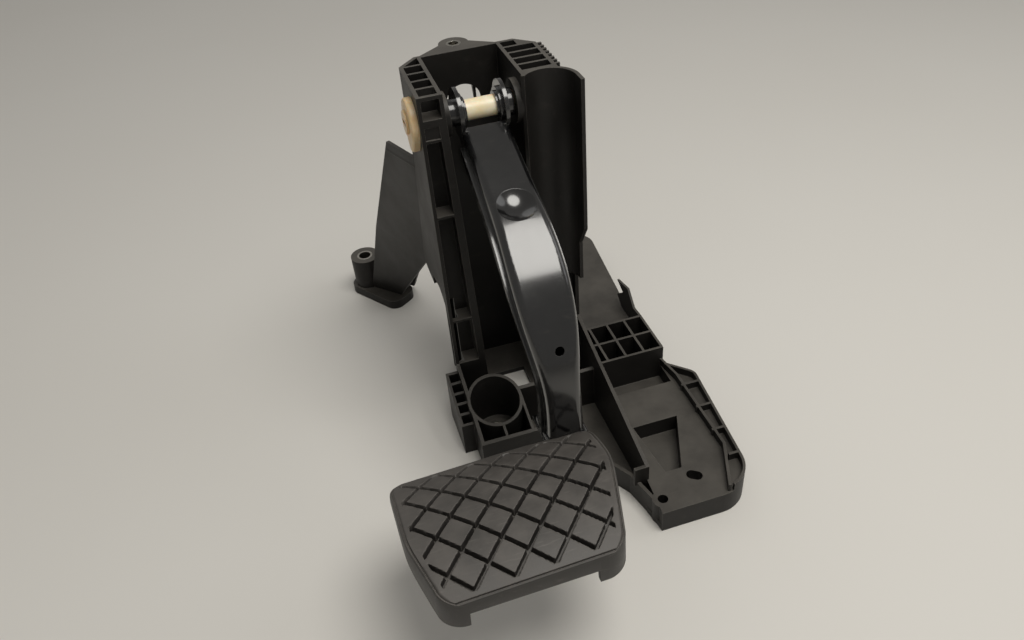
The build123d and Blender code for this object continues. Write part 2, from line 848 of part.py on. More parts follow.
def arm_band(front, rear, start):
    """Solid between two depths of the arm's side profile, wider than the arm."""
    turn = 90 - arm_rake
    with BuildSketch(along(pivot_x - 2 * arm_half_width)) as band:
        with BuildLine():
            Line(arm_point(start, front), arm_point(arm_straight, front))
            ThreePointArc(arm_point(arm_straight, front), bend_point(turn / 2, front), bend_point(0, front))
            Polyline(
                bend_point(0, front),
                (bend_point(0, front)[0], arm_end_z),
                (bend_point(0, rear)[0], arm_end_z),
                bend_point(0, rear),
            )
            ThreePointArc(bend_point(0, rear), bend_point(turn / 2, rear), arm_point(arm_straight, rear))
            Polyline(arm_point(arm_straight, rear), arm_point(start, rear), arm_point(start, front))
        make_face()
    extrude(band.sketch, amount=4 * arm_half_width)


def arm_front_view(inset, mode=Mode.INTERSECT):
    """Trim to the arm's outline seen from the front: wide at the bend, narrow above the pad."""
    half = arm_half_width - inset
    drop = pivot_height - pad_top
    widths = [half, half + arm_belly, half, half - arm_neck]
    heights = [(width, pivot_height - share * drop) for width, share in zip(widths, arm_levels)]
    heights.insert(0, (half, pivot_height + 2 * ear_radius))
    heights.append((half - arm_neck, arm_end_z - past))
    right_side = [(pivot_x + x, z) for x, z in heights]
    left_side = [(pivot_x - x, z) for x, z in reversed(heights)]
    with BuildSketch(across(back_y)) as view:
        with BuildLine():
            Spline(*right_side, tangents=[(0, -1), (0, -1)])
            Line(right_side[-1], left_side[0])
            Spline(*left_side, tangents=[(0, 1), (0, 1)])
            Line(left_side[-1], right_side[0])
        make_face()
    extrude(view.sketch, amount=back_y - arm_front_y + arm_bend, mode=mode)


# The pad's own plane: its origin near the middle of the pad, on the foot plate's upper face
tilt = radians(pad_tilt)
pad_x = pivot_x - pad_arm_offset
pad_y = arm_front_y - pad_reach
plate_plane = Plane(origin=(pad_x, pad_y, plate_level), x_dir=(1, 0, 0), z_dir=(0, sin(tilt), cos(tilt)))

with BuildPart() as front_core:
    arm_band(sheet, arm_split + past, arm_start - 2 * sheet)
    arm_front_view(sheet)

with BuildPart() as rear_core:
    arm_band(arm_split - past, arm_depth - sheet, arm_start - 2 * sheet)
    arm_front_view(sheet)

with BuildPart() as front_flange:
    arm_band(arm_split - sheet, arm_split, rear_start)
    arm_front_view(-weld_flange)

with BuildPart() as rear_flange:
    arm_band(arm_split, arm_split + sheet, rear_start)
    arm_front_view(-weld_flange)

ear_in = arm_half_width - sheet

with BuildPart() as arm_front_shell:
    arm_band(0, arm_split, 0)
    arm_front_view(0)
    fillet(long_edges(arm_front_shell, 0), arm_shoulder)
    disc(along(pivot_x - arm_half_width), pivot, ear_radius, 2 * arm_half_width)
    add(front_flange.part)
    add(front_core.part, mode=Mode.SUBTRACT)
    # Gap between the ears: only the side walls and the front plate run on below it
    clear = 2 * ear_radius
    ear_gap = [
        arm_point(-clear, -clear),
        arm_point(clear, -clear),
        arm_point(clear, 0),
        arm_point(arm_start, 0),
        arm_point(arm_start, arm_split + past),
        arm_point(-clear, arm_split + past),
    ]
    slab(along(pivot_x - ear_in), ear_gap, 2 * ear_in, Mode.SUBTRACT)
    # Pressed dish and drain hole
    dish_y, dish_z = arm_point(arm_straight, 0)
    dish_plane = Plane(origin=(pivot_x, dish_y, dish_z), x_dir=(1, 0, 0), z_dir=(0, sin(rake), -cos(rake)))
    disc(dish_plane.offset(sheet / 2), (0, 0), dish_radius + past, dish_depth + sheet / 2)
    dish_sphere = (dish_radius ** 2 + dish_depth ** 2) / (2 * dish_depth)
    dish_centre = dish_plane.offset(dish_depth - dish_sphere).origin
    with Locations(Plane(origin=dish_centre, z_dir=(1, 0, 0)).location):
        Sphere(dish_sphere, mode=Mode.SUBTRACT)
    drain_y, drain_z = bend_point(drain_angle, 0)
    drain_plane = Plane(
        origin=(pivot_x + drain_offset, drain_y, drain_z),
        x_dir=(1, 0, 0),
        z_dir=(0, cos(radians(drain_angle)), -sin(radians(drain_angle))),
    )
    disc(drain_plane.offset(-sheet), (0, 0), drain_radius, 3 * sheet, Mode.SUBTRACT)
    # Bush holes, and the lower end cut square on the foot plate
    disc(along(pivot_x - 2 * arm_half_width), pivot, bush_radius, 4 * arm_half_width, Mode.SUBTRACT)
    split(bisect_by=plate_plane, keep=Keep.TOP)
arm_front_shell.part.label = "arm_front_shell"

socket_y, socket_z = arm_point(socket_along, arm_depth)
socket_plane = Plane(origin=(pivot_x, socket_y, socket_z), x_dir=(1, 0, 0), z_dir=(0, sin(rake), -cos(rake)))

with BuildPart() as arm_rear_shell:
    arm_band(arm_split, arm_depth, rear_start)
    arm_front_view(0)
    fillet(long_edges(arm_rear_shell, arm_depth), arm_rear_shoulder)
    add(rear_flange.part)
    add(rear_core.part, mode=Mode.SUBTRACT)
    disc(socket_plane.offset(-2 * sheet), (0, 0), socket_radius, 3 * sheet, Mode.SUBTRACT)
    split(bisect_by=plate_plane, keep=Keep.TOP)
arm_rear_shell.part.label = "arm_rear_shell"

# Socket for the push rod's ball, clipped into the rear shell
with BuildPart() as rod_socket:
    disc(socket_plane, (0, 0), socket_radius + socket_flange, socket_rim)
    disc(socket_plane, (0, 0), socket_radius, socket_rim - socket_length)
    disc(socket_plane.offset(socket_rim), (0, 0), ball_radius, socket_flange - socket_length, Mode.SUBTRACT)
rod_socket.part.label = "rod_socket"


def ear_bush(side):
    """Flanged bush in one ear; side is -1 on the left and 1 on the right."""
    sleeve_end = side * (tower_gap / 2 - boss_reach - bush_side_play)
    sleeve_start = side * (ear_in - bush_flange_thickness - bush_collar)
    disc(along(pivot_x + sleeve_start), pivot, bush_radius, sleeve_end - sleeve_start)
    disc(along(pivot_x + side * ear_in), pivot, bush_flange_radius, -side * bush_flange_thickness)
    disc(along(pivot_x - tower_gap), pivot, pin_bore, 2 * tower_gap, Mode.SUBTRACT)


with BuildPart() as left_bush:
    ear_bush(-1)
left_bush.part.label = "left_bush"

with BuildPart() as right_bush:
    ear_bush(1)
right_bush.part.label = "right_bush"


def pad_outline(inset):
    """Rounded outline of the pad with its bowed far edge, set in from its edge, on the pad's own plane."""
    far_left = (-pad_top_left, pad_far_left)
    far_right = (pad_top_right, pad_far_right)
    with BuildSketch(mode=Mode.PRIVATE) as outline:
        with BuildLine():
            ThreePointArc(far_left, ((pad_top_right - pad_top_left) / 2, pad_far_middle), far_right)
            Polyline(far_right, (pad_bottom_right, -pad_near), (-pad_bottom_left, -pad_near), far_left)
        make_face()
        fillet(outline.vertices(), pad_corner)
        if inset:
            offset(amount=-inset, mode=Mode.REPLACE)
    return outline.sketch


def pad_slab(inset, low, high, mode=Mode.ADD):
    """Pad outline between two heights above the foot plate's upper face."""
    with BuildSketch(plate_plane.offset(low)) as face:
        add(pad_outline(inset))
    extrude(face.sketch, amount=high - low, mode=mode)


tab_half = arm_half_width - arm_neck + weld_flange
tab_near = pad_far_right - tab_overlap
tab_far = bend_point(0, arm_depth)[0] - pad_y + tab_reach


def tab_outline(gap, far):
    """Plan of the foot plate's tab under the arm, on the pad's own plane."""
    left = pad_arm_offset - tab_half - gap
    right = pad_arm_offset + tab_half + gap
    return [(left, tab_near), (right, tab_near), (right, far), (left, far)]


with BuildPart() as foot_plate:
    pad_slab(pad_skirt, -plate_thickness, 0)
    slab(plate_plane, tab_outline(0, tab_far), -plate_thickness)
foot_plate.part.label = "foot_plate"

skirt_low = -plate_thickness - pad_wrap

with BuildPart() as pedal_pad:
    pad_slab(0, skirt_low, pad_cover)
    fillet(pedal_pad.faces().sort_by(Axis.Z)[-1].edges(), pad_edge)
    # Two legs at the near corners carry the skirt further down
    for side_x in (-pad_bottom_left + leg_width - leg_side, pad_bottom_right - leg_width + leg_side):
        with BuildSketch(plate_plane.offset(skirt_low)) as leg:
            with Locations((side_x, -pad_near)):
                Rectangle(2 * leg_side, pad_near)
            add(pad_outline(0), mode=Mode.INTERSECT)
            add(pad_outline(pad_skirt), mode=Mode.SUBTRACT)
        extrude(leg.sketch, amount=-leg_length)
    # Pocket for the foot plate, the opening below it and the gap for the arm's tab
    pad_slab(pad_skirt, -plate_thickness, 0, Mode.SUBTRACT)
    pad_slab(pad_skirt + pad_lip, skirt_low - past, -plate_thickness, Mode.SUBTRACT)
    tab_room = tab_outline(tab_gap, 2 * pad_near)
    slab(plate_plane.offset(skirt_low - past), tab_room, past - skirt_low, Mode.SUBTRACT)
    # Diamond grooves inside a plain border
    groove_pitch = groove_across * cos(radians(groove_turn))
    with BuildSketch(plate_plane.offset(pad_cover)) as grooves:
        for turn in (groove_turn, -groove_turn):
            with Locations(Location((groove_x, groove_y, 0), turn)):
                with GridLocations(groove_pitch, 1, groove_count + 1, 1):
                    Rectangle(groove_width, 4 * pad_near)
        add(pad_outline(groove_margin), mode=Mode.INTERSECT)
    extrude(grooves.sketch, amount=-groove_depth, mode=Mode.SUBTRACT)
pedal_pad.part.label = "pedal_pad"

os.makedirs("parts", exist_ok=True)
pieces = [
    bracket,
    stud_sleeve,
    foot_sleeve,
    rear_sleeve,
    lug_sleeve,
    pivot_pin,
    pin_clip,
    arm_front_shell,
    arm_rear_shell,
    rod_socket,
    left_bush,
    right_bush,
    foot_plate,
    pedal_pad,
]
for piece in pieces:
    export_step(piece.part, f"parts/{piece.part.label}.step")
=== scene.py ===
"""Brake pedal: finishes, crowned pad, weld bead, light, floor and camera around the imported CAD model."""

import logging
import math
from dataclasses import dataclass
from enum import Enum
from typing import ClassVar

import bpy
import numpy as np
from mathutils import Matrix, Vector

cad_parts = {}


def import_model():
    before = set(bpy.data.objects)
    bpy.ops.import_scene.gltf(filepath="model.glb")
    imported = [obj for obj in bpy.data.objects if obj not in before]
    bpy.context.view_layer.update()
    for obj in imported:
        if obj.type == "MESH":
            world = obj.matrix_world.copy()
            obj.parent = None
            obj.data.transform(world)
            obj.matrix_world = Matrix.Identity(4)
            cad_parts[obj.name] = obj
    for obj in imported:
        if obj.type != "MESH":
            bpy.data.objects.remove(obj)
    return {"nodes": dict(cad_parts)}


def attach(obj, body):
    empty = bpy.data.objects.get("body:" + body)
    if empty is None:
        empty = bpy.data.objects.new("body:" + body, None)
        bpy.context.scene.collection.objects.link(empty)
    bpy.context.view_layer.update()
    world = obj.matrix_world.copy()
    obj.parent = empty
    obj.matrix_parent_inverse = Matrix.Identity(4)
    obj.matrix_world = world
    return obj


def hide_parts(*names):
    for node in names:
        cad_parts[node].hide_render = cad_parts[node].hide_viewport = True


LOG = logging.getLogger("brake_pedal")
MILLIMETRE = 0.001
PEDAL_BODY = "pedal"

# Faces of a new piece that meet at a steeper turn keep a sharp edge
SHARP_DEGREES = 55.0

# The sRGB curve: a straight toe up to its end, then a power of the offset value
SRGB_TOE_END = 0.04045
SRGB_TOE_SLOPE = 12.92
SRGB_OFFSET = 0.055
SRGB_POWER = 2.4

Socket = bpy.types.NodeSocket


class Slot(Enum):
    """Material slots of the record."""

    BRACKET = "bracket_plastic"
    PLATED = "plated_steel"
    PIN = "pin_plastic"
    BUSH = "bush_plastic"
    ARM = "arm_coat"
    PAD = "pad_rubber"


def linear_colour(hex_code: str) -> tuple[float, float, float, float]:
    """Turn an sRGB hex code into a linear colour.

    Args:
        hex_code: Six hex digits with a leading hash sign.

    Returns:
        Linear red, green, blue and an alpha of one.
    """
    channels = np.array([int(hex_code[i : i + 2], 16) for i in (1, 3, 5)]) / 255
    curved = ((channels + SRGB_OFFSET) / (1 + SRGB_OFFSET)) ** SRGB_POWER
    linear = np.where(channels <= SRGB_TOE_END, channels / SRGB_TOE_SLOPE, curved)
    return (*linear.tolist(), 1.0)


def soft_step(share: np.ndarray) -> np.ndarray:
    """Ease from nothing at zero to one at one: three times the square less twice the cube."""
    held = np.clip(share, 0, 1)
    return held * held * (3 - 2 * held)


def tube_faces(rows: int, columns: int) -> list[list[int]]:
    """Faces of a grid that closes on itself both ways.

    Args:
        rows: Points along the path.
        columns: Points round the section, turning from outwards to up.

    Returns:
        Four point numbers for each face, counter-clockwise from outside.
    """
    index = np.arange(rows * columns).reshape(rows, columns)
    onward = np.roll(index, -1, axis=0)
    faces = np.stack([index, onward, np.roll(onward, -1, axis=1), np.roll(index, -1, axis=1)], axis=-1)
    return faces.reshape(-1, 4).tolist()


def new_piece(
    name: str, points: np.ndarray, faces: list[list[int]], material: bpy.types.Material
) -> bpy.types.Object:
    """Put points and faces into a smooth mesh at the origin.

    Args:
        name: Name of the piece.
        points: One row of three numbers per point, in metres.
        faces: Point numbers of each face, counter-clockwise from outside.
        material: Finish of the piece.

    Returns:
        The new object.
    """
    mesh = bpy.data.meshes.new(name)
    mesh.from_pydata(points, [], faces)
    mesh.polygons.foreach_set("use_smooth", np.ones(len(mesh.polygons), dtype=bool))
    mesh.set_sharp_from_angle(angle=math.radians(SHARP_DEGREES))
    mesh.materials.append(material)
    mesh.update()
    piece = bpy.data.objects.new(name, mesh)
    bpy.context.collection.objects.link(piece)
    return piece


@dataclass(frozen=True)
class Finish:
    """Look of one material: colours as sRGB hex codes, and pattern sizes in millimetres."""

    name: str
    # Colour, drifting from base to patch in soft blotches
    base: str
    patch: str
    patch_mm: float
    # Fine relief of the surface
    grain_mm: float
    grain_depth_mm: float
    # Colour of the paled edges: partly rubbed wear, partly painted highlight
    edge: str
    # Gloss
    roughness: float
    rough_spread: float
    ior: float = 1.5
    gloss: float = 0.5
    metallic: float = 0.0
    coat: float = 0.0
    coat_roughness: float = 0.1
    # Width of the paled edges and how much they pale, for wear and for a painted highlight
    edge_mm: float = 0.5
    edge_wear_and_highlight_share: float = 0.4
    # Paler faces that look up, partly dust and partly painted top light, and scuffs in the dust's colour
    dust_and_top_light: str = "#8f887c"
    dust_and_top_light_share: float = 0.0
    scuff_share: float = 0.0
    scuff_mm: float = 14.0
    # Darker, amber colour of a thick end, if it has one: partly the thick stock, partly painted shade; and
    # the light that goes through thin stock
    amber_and_shade: str | None = None
    glow: float = 0.0


FINISHES: dict[Slot, Finish] = {
    # Glass-filled nylon, injection moulded: a spark-eroded grain with a faint satin gloss, paler edges that
    # are partly rubbed wear and partly painted highlight, and paler upward faces that are partly dust and
    # partly painted top light. The real grain is about 0.1 mm, too fine to show, so it is drawn coarser.
    Slot.BRACKET: Finish(
        name="moulded_nylon",
        base="#171615",
        patch="#211f1d",
        patch_mm=38.0,
        grain_mm=0.9,
        grain_depth_mm=0.05,
        roughness=0.46,
        rough_spread=0.14,
        ior=1.53,
        gloss=0.26,
        edge="#8b8780",
        edge_wear_and_highlight_share=0.7,
        dust_and_top_light="#8f8a82",
        dust_and_top_light_share=0.42,
        scuff_share=0.04,
    ),
    # Zinc-plated steel tube: bright, with a soft cloudy passivation. The real crystals are far under 0.1 mm,
    # too fine to show, so the grain is drawn coarser.
    Slot.PLATED: Finish(
        name="zinc_plate",
        base="#b3b0a8",
        patch="#8d8a82",
        patch_mm=5.0,
        grain_mm=0.5,
        grain_depth_mm=0.02,
        roughness=0.32,
        rough_spread=0.16,
        metallic=1.0,
        edge="#dedbd3",
        edge_mm=0.3,
    ),
    # Natural acetal, moulded: cream, slightly see-through, ambered and darkened at its thick head, partly
    # for the thicker stock and partly as painted shade. The mould's polish marks are about 0.1 mm, too fine
    # to show, so they are drawn coarser.
    Slot.PIN: Finish(
        name="natural_acetal",
        base="#faf0d8",
        patch="#efdeb2",
        patch_mm=8.0,
        grain_mm=1.1,
        grain_depth_mm=0.02,
        roughness=0.34,
        rough_spread=0.10,
        ior=1.48,
        edge="#f1e6c6",
        edge_wear_and_highlight_share=0.25,
        amber_and_shade="#b98a3c",
        glow=0.2,
    ),
    # Black acetal bush, turned: glossy, with a painted highlight paling its rims. The tool's marks are about
    # 0.1 mm, too fine to show, so they are drawn coarser.
    Slot.BUSH: Finish(
        name="black_acetal",
        base="#121213",
        patch="#1c1c1d",
        patch_mm=5.0,
        grain_mm=0.8,
        grain_depth_mm=0.015,
        roughness=0.2,
        rough_spread=0.08,
        coat=0.6,
        edge="#a9a7a3",
        edge_wear_and_highlight_share=0.5,
    ),
    # Steel pressing under a black dip coat: deep gloss with a slight orange peel at its real size, thin on
    # its cut edges, which are paled partly for the bare steel and partly as a painted highlight
    Slot.ARM: Finish(
        name="dip_coat",
        base="#0c0c0d",
        patch="#121213",
        patch_mm=24.0,
        grain_mm=2.6,
        grain_depth_mm=0.012,
        roughness=0.2,
        rough_spread=0.08,
        ior=1.6,
        coat=0.8,
        coat_roughness=0.12,
        edge="#8d8a86",
        edge_mm=0.45,
        edge_wear_and_highlight_share=0.55,
        scuff_share=0.06,
        scuff_mm=9.0,
    ),
    # Moulded rubber: matt and faintly chalky, greyer where shoes have rubbed it. Its edges and groove lips
    # are paled partly as chalky wear and partly as a painted highlight, and its upward faces partly by dust
    # and partly by painted top light. The real grain is about 0.2 mm, too fine to show, so it is drawn
    # coarser.
    Slot.PAD: Finish(
        name="moulded_rubber",
        base="#2a2826",
        patch="#353230",
        patch_mm=18.0,
        grain_mm=0.7,
        grain_depth_mm=0.06,
        roughness=0.52,
        rough_spread=0.14,
        ior=1.52,
        edge="#9a958e",
        edge_mm=0.6,
        edge_wear_and_highlight_share=0.75,
        dust_and_top_light="#97918a",
        dust_and_top_light_share=0.3,
        scuff_share=0.16,
        scuff_mm=11.0,
    ),
}


@dataclass(frozen=True)
class Band:
    """Stretch of a value over which a share goes from nothing to all of it."""

    start: float
    full: float

    def limits(self) -> dict[str, float]:
        """Socket values of a node that maps this stretch."""
        return {"From_Min": self.start, "From_Max": self.full}


class NodeTree:
    """Shader nodes of one new material."""

    def __init__(self, name: str) -> None:
        """Start a material with its principled shader.

        Args:
            name: Name of the material.
        """
        self.material = bpy.data.materials.new(name)
        self.material.use_nodes = True
        self.nodes = self.material.node_tree.nodes
        self.links = self.material.node_tree.links
        self.shader = self.nodes["Principled BSDF"]

    def add(
        self, kind: str, output: str | int, settings: dict[str, object] | None = None, **inputs: object
    ) -> Socket:
        """Add one node with its settings and links.

        Args:
            kind: Blender's node type, without its leading ShaderNode.
            output: Name or number of the output that is wanted.
            settings: Attributes to set on the node.
            **inputs: Values to set or sockets to link. Each is named for its socket, with underscores for
                spaces, or with i and the socket's number.

        Returns:
            The wanted output.
        """
        node = self.nodes.new(f"ShaderNode{kind}")
        for key, value in (settings or {}).items():
            setattr(node, key, value)
        for key, value in inputs.items():
            numbered = key[0] == "i" and key[1:].isdigit()
            socket = node.inputs[int(key[1:]) if numbered else key.replace("_", " ")]
            if isinstance(value, Socket):
                self.links.new(value, socket)
            else:
                socket.default_value = value
        return node.outputs[output]

    def join(self, source: Socket, target: str) -> None:
        """Link a socket to one of the shader's inputs."""
        self.links.new(source, self.shader.inputs[target])


class MaterialShop:
    """Builds the procedural materials from their finishes."""

    # A mix of two colours takes them at its sockets 6 and 7, and gives the result at its output 2
    COLOUR_MIX: ClassVar[dict[str, object]] = {"data_type": "RGBA"}
    MIXED: ClassVar[int] = 2
    PRODUCT: ClassVar[dict[str, object]] = {"operation": "MULTIPLY"}
    DOT: ClassVar[dict[str, object]] = {"operation": "DOT_PRODUCT"}
    NOISE_ROUGHNESS: ClassVar[float] = 0.6
    PATCH_DETAIL: ClassVar[float] = 5.0
    PATCH_BAND: ClassVar[Band] = Band(0.3, 0.7)
    GRAIN_DETAIL: ClassVar[float] = 3.0
    GRAIN_STRENGTH: ClassVar[float] = 0.7
    BEVEL_SAMPLES: ClassVar[int] = 6
    GLOW_DEPTH: ClassVar[float] = 2.0 * MILLIMETRE
    # The pin's head lies at negative X, and its thick part, ambered and given painted shade, is past these
    # places
    HEAD_BAND: ClassVar[Band] = Band(-15 * MILLIMETRE, -20 * MILLIMETRE)
    HEAD_SHARE: ClassVar[float] = 0.55
    # Upward part of a face's normal, over which dust and painted top light come in
    DUST_AND_TOP_LIGHT_BAND: ClassVar[Band] = Band(0.3, 1.0)
    SCUFF_TURN: ClassVar[tuple[float, float, float]] = (0.3, 0.2, 0.6)
    SCUFF_PULL: ClassVar[tuple[float, float, float]] = (1.0, 7.0, 2.0)
    SCUFF_DETAIL: ClassVar[float] = 6.0
    SCUFF_BAND: ClassVar[Band] = Band(0.58, 0.78)
    # Cosine between the rounded normal and the face's own, over which edges pale for wear and a painted
    # highlight
    EDGE_BAND: ClassVar[Band] = Band(0.97, 0.75)
    EDGE_BREAKUP_BAND: ClassVar[Band] = Band(0.3, 0.6)

    def __init__(self) -> None:
        """Start with no material made."""
        self.made: dict[Slot, bpy.types.Material] = {}

    def get(self, slot: Slot) -> bpy.types.Material:
        """Material of a slot, built the first time it is asked for.

        Args:
            slot: Record slot.

        Returns:
            The material.
        """
        if slot not in self.made:
            self.made[slot] = self._build(FINISHES[slot])
        return self.made[slot]

    def _build(self, finish: Finish) -> bpy.types.Material:
        """Colour in patches, dust with painted top light, scuffs, and edges paled for wear and a painted
        highlight, over a fine moulded or coated grain.

        Args:
            finish: Look of the material.

        Returns:
            The new material.
        """
        tree = NodeTree(finish.name)
        place = tree.add("TexCoord", "Object")
        patches = tree.add(
            "TexNoise",
            "Fac",
            Vector=place,
            Scale=1 / (finish.patch_mm * MILLIMETRE),
            Detail=self.PATCH_DETAIL,
            Roughness=self.NOISE_ROUGHNESS,
        )
        grain = tree.add(
            "TexNoise",
            "Fac",
            Vector=place,
            Scale=1 / (finish.grain_mm * MILLIMETRE),
            Detail=self.GRAIN_DETAIL,
            Roughness=self.NOISE_ROUGHNESS,
        )
        colour = tree.add(
            "Mix",
            self.MIXED,
            self.COLOUR_MIX,
            Factor=tree.add("MapRange", "Result", Value=patches, **self.PATCH_BAND.limits()),
            i6=linear_colour(finish.base),
            i7=linear_colour(finish.patch),
        )
        if finish.amber_and_shade:
            colour = self._amber_and_shaded_head(tree, finish, place, colour)
        if finish.dust_and_top_light_share:
            colour = self._dust_and_top_light(tree, finish, patches, colour)
        if finish.scuff_share:
            colour = self._scuffs(tree, finish, place, colour)
        rounded = tree.add(
            "Bevel", "Normal", {"samples": self.BEVEL_SAMPLES}, Radius=finish.edge_mm * MILLIMETRE
        )
        tree.join(self._pale_edges_for_wear_and_highlight(tree, finish, rounded, grain, colour), "Base Color")
        rough = tree.add(
            "MapRange",
            "Result",
            Value=patches,
            **self.PATCH_BAND.limits(),
            To_Min=finish.roughness - finish.rough_spread / 2,
            To_Max=finish.roughness + finish.rough_spread / 2,
        )
        tree.join(rough, "Roughness")
        bump = tree.add(
            "Bump",
            "Normal",
            Height=grain,
            Distance=finish.grain_depth_mm * MILLIMETRE,
            Strength=self.GRAIN_STRENGTH,
            Normal=rounded,
        )
        tree.join(bump, "Normal")
        constants = {
            "Metallic": finish.metallic,
            "IOR": finish.ior,
            "Specular IOR Level": finish.gloss,
            "Coat Weight": finish.coat,
            "Coat Roughness": finish.coat_roughness,
            "Subsurface Weight": finish.glow,
            "Subsurface Scale": self.GLOW_DEPTH,
        }
        for socket, value in constants.items():
            tree.shader.inputs[socket].default_value = value
        return tree.material

    def _amber_and_shaded_head(self, tree: NodeTree, finish: Finish, place: Socket, colour: Socket) -> Socket:
        """Amber and darken the thick head at the pin's left end: partly its thicker stock, partly painted
        shade.

        Args:
            tree: Material's nodes.
            finish: Look of the material.
            place: Object coordinates.
            colour: Colour so far.

        Returns:
            The colour with the amber, shaded head.
        """
        across = tree.add("SeparateXYZ", "X", Vector=place)
        limits = self.HEAD_BAND.limits()
        head = tree.add("MapRange", "Result", Value=across, **limits, To_Max=self.HEAD_SHARE)
        amber_and_shade_colour = linear_colour(finish.amber_and_shade)
        return tree.add("Mix", self.MIXED, self.COLOUR_MIX, Factor=head, i6=colour, i7=amber_and_shade_colour)

    def _dust_and_top_light(self, tree: NodeTree, finish: Finish, patches: Socket, colour: Socket) -> Socket:
        """Pale faces that look up, in patches: partly dust, partly painted top light.

        Args:
            tree: Material's nodes.
            finish: Look of the material.
            patches: Noise that breaks the paling up.
            colour: Colour so far.

        Returns:
            The colour with the dust and painted top light.
        """
        up = tree.add("SeparateXYZ", "Z", Vector=tree.add("NewGeometry", "Normal"))
        limits = self.DUST_AND_TOP_LIGHT_BAND.limits()
        lying = tree.add("MapRange", "Result", Value=up, **limits, To_Max=finish.dust_and_top_light_share)
        share = tree.add("Math", "Value", self.PRODUCT, i0=lying, i1=patches)
        dust_and_top_light = linear_colour(finish.dust_and_top_light)
        return tree.add("Mix", self.MIXED, self.COLOUR_MIX, Factor=share, i6=colour, i7=dust_and_top_light)

    def _scuffs(self, tree: NodeTree, finish: Finish, place: Socket, colour: Socket) -> Socket:
        """Drag noise out along one way, for the faint rub marks of handling.

        Args:
            tree: Material's nodes.
            finish: Look of the material.
            place: Object coordinates.
            colour: Colour so far.

        Returns:
            The colour with the scuffs.
        """
        pulled = tree.add(
            "Mapping", "Vector", Vector=place, Rotation=self.SCUFF_TURN, Scale=self.SCUFF_PULL
        )
        marks = tree.add(
            "TexNoise",
            "Fac",
            Vector=pulled,
            Scale=1 / (finish.scuff_mm * MILLIMETRE),
            Detail=self.SCUFF_DETAIL,
            Roughness=self.NOISE_ROUGHNESS,
        )
        limits = self.SCUFF_BAND.limits()
        share = tree.add("MapRange", "Result", Value=marks, **limits, To_Max=finish.scuff_share)
        dust_and_top_light = linear_colour(finish.dust_and_top_light)
        return tree.add("Mix", self.MIXED, self.COLOUR_MIX, Factor=share, i6=colour, i7=dust_and_top_light)

    def _pale_edges_for_wear_and_highlight(
        self, tree: NodeTree, finish: Finish, rounded: Socket, grain: Socket, colour: Socket
    ) -> Socket:
        """Pale the edges, where the rounded normal turns away from the face's own: partly rubbed wear,
        partly painted highlight.

        Args:
            tree: Material's nodes.
            finish: Look of the material.
            rounded: Normal as if the edges were rounded.
            grain: Noise that breaks the paled edge up.
            colour: Colour so far.

        Returns:
            The colour with the paler edges.
        """
        normal = tree.add("NewGeometry", "Normal")
        same = tree.add("VectorMath", "Value", self.DOT, i0=rounded, i1=normal)
        limits = self.EDGE_BAND.limits()
        wear_and_highlight = tree.add("MapRange", "Result", Value=same, **limits, To_Max=finish.edge_wear_and_highlight_share)
        edge_breakup = tree.add("MapRange", "Result", Value=grain, **self.EDGE_BREAKUP_BAND.limits())
        share = tree.add("Math", "Value", self.PRODUCT, i0=wear_and_highlight, i1=edge_breakup)
        pale = linear_colour(finish.edge)
        return tree.add("Mix", self.MIXED, self.COLOUR_MIX, Factor=share, i6=colour, i7=pale)


@dataclass
class SubAssembly:
    """CAD nodes that belong together and keep their own shape."""

    nodes: dict[str, bpy.types.Object]
    shop: MaterialShop

    parts: ClassVar[dict[str, Slot]] = {}

    def dress(self) -> None:
        """Give each CAD node its finish."""
        for name, slot in self.parts.items():
            mesh = self.nodes[name].data
            mesh.materials.clear()
            mesh.materials.append(self.shop.get(slot))
            LOG.info("%s dressed as %s", name, FINISHES[slot].name)


@dataclass
class BearingBracket(SubAssembly):
    """The moulding with its pressed-in sleeves."""

    parts: ClassVar[dict[str, Slot]] = {
        "bracket": Slot.BRACKET,
        "stud_sleeve": Slot.PLATED,
        "foot_sleeve": Slot.PLATED,
        "rear_sleeve": Slot.PLATED,
        "lug_sleeve": Slot.PLATED,
    }


@dataclass
class Pivot(SubAssembly):
    """Pin, clip and bushes."""

    parts: ClassVar[dict[str, Slot]] = {
        "pivot_pin": Slot.PIN,
        "pin_clip": Slot.PLATED,
        "left_bush": Slot.BUSH,
        "right_bush": Slot.BUSH,
    }


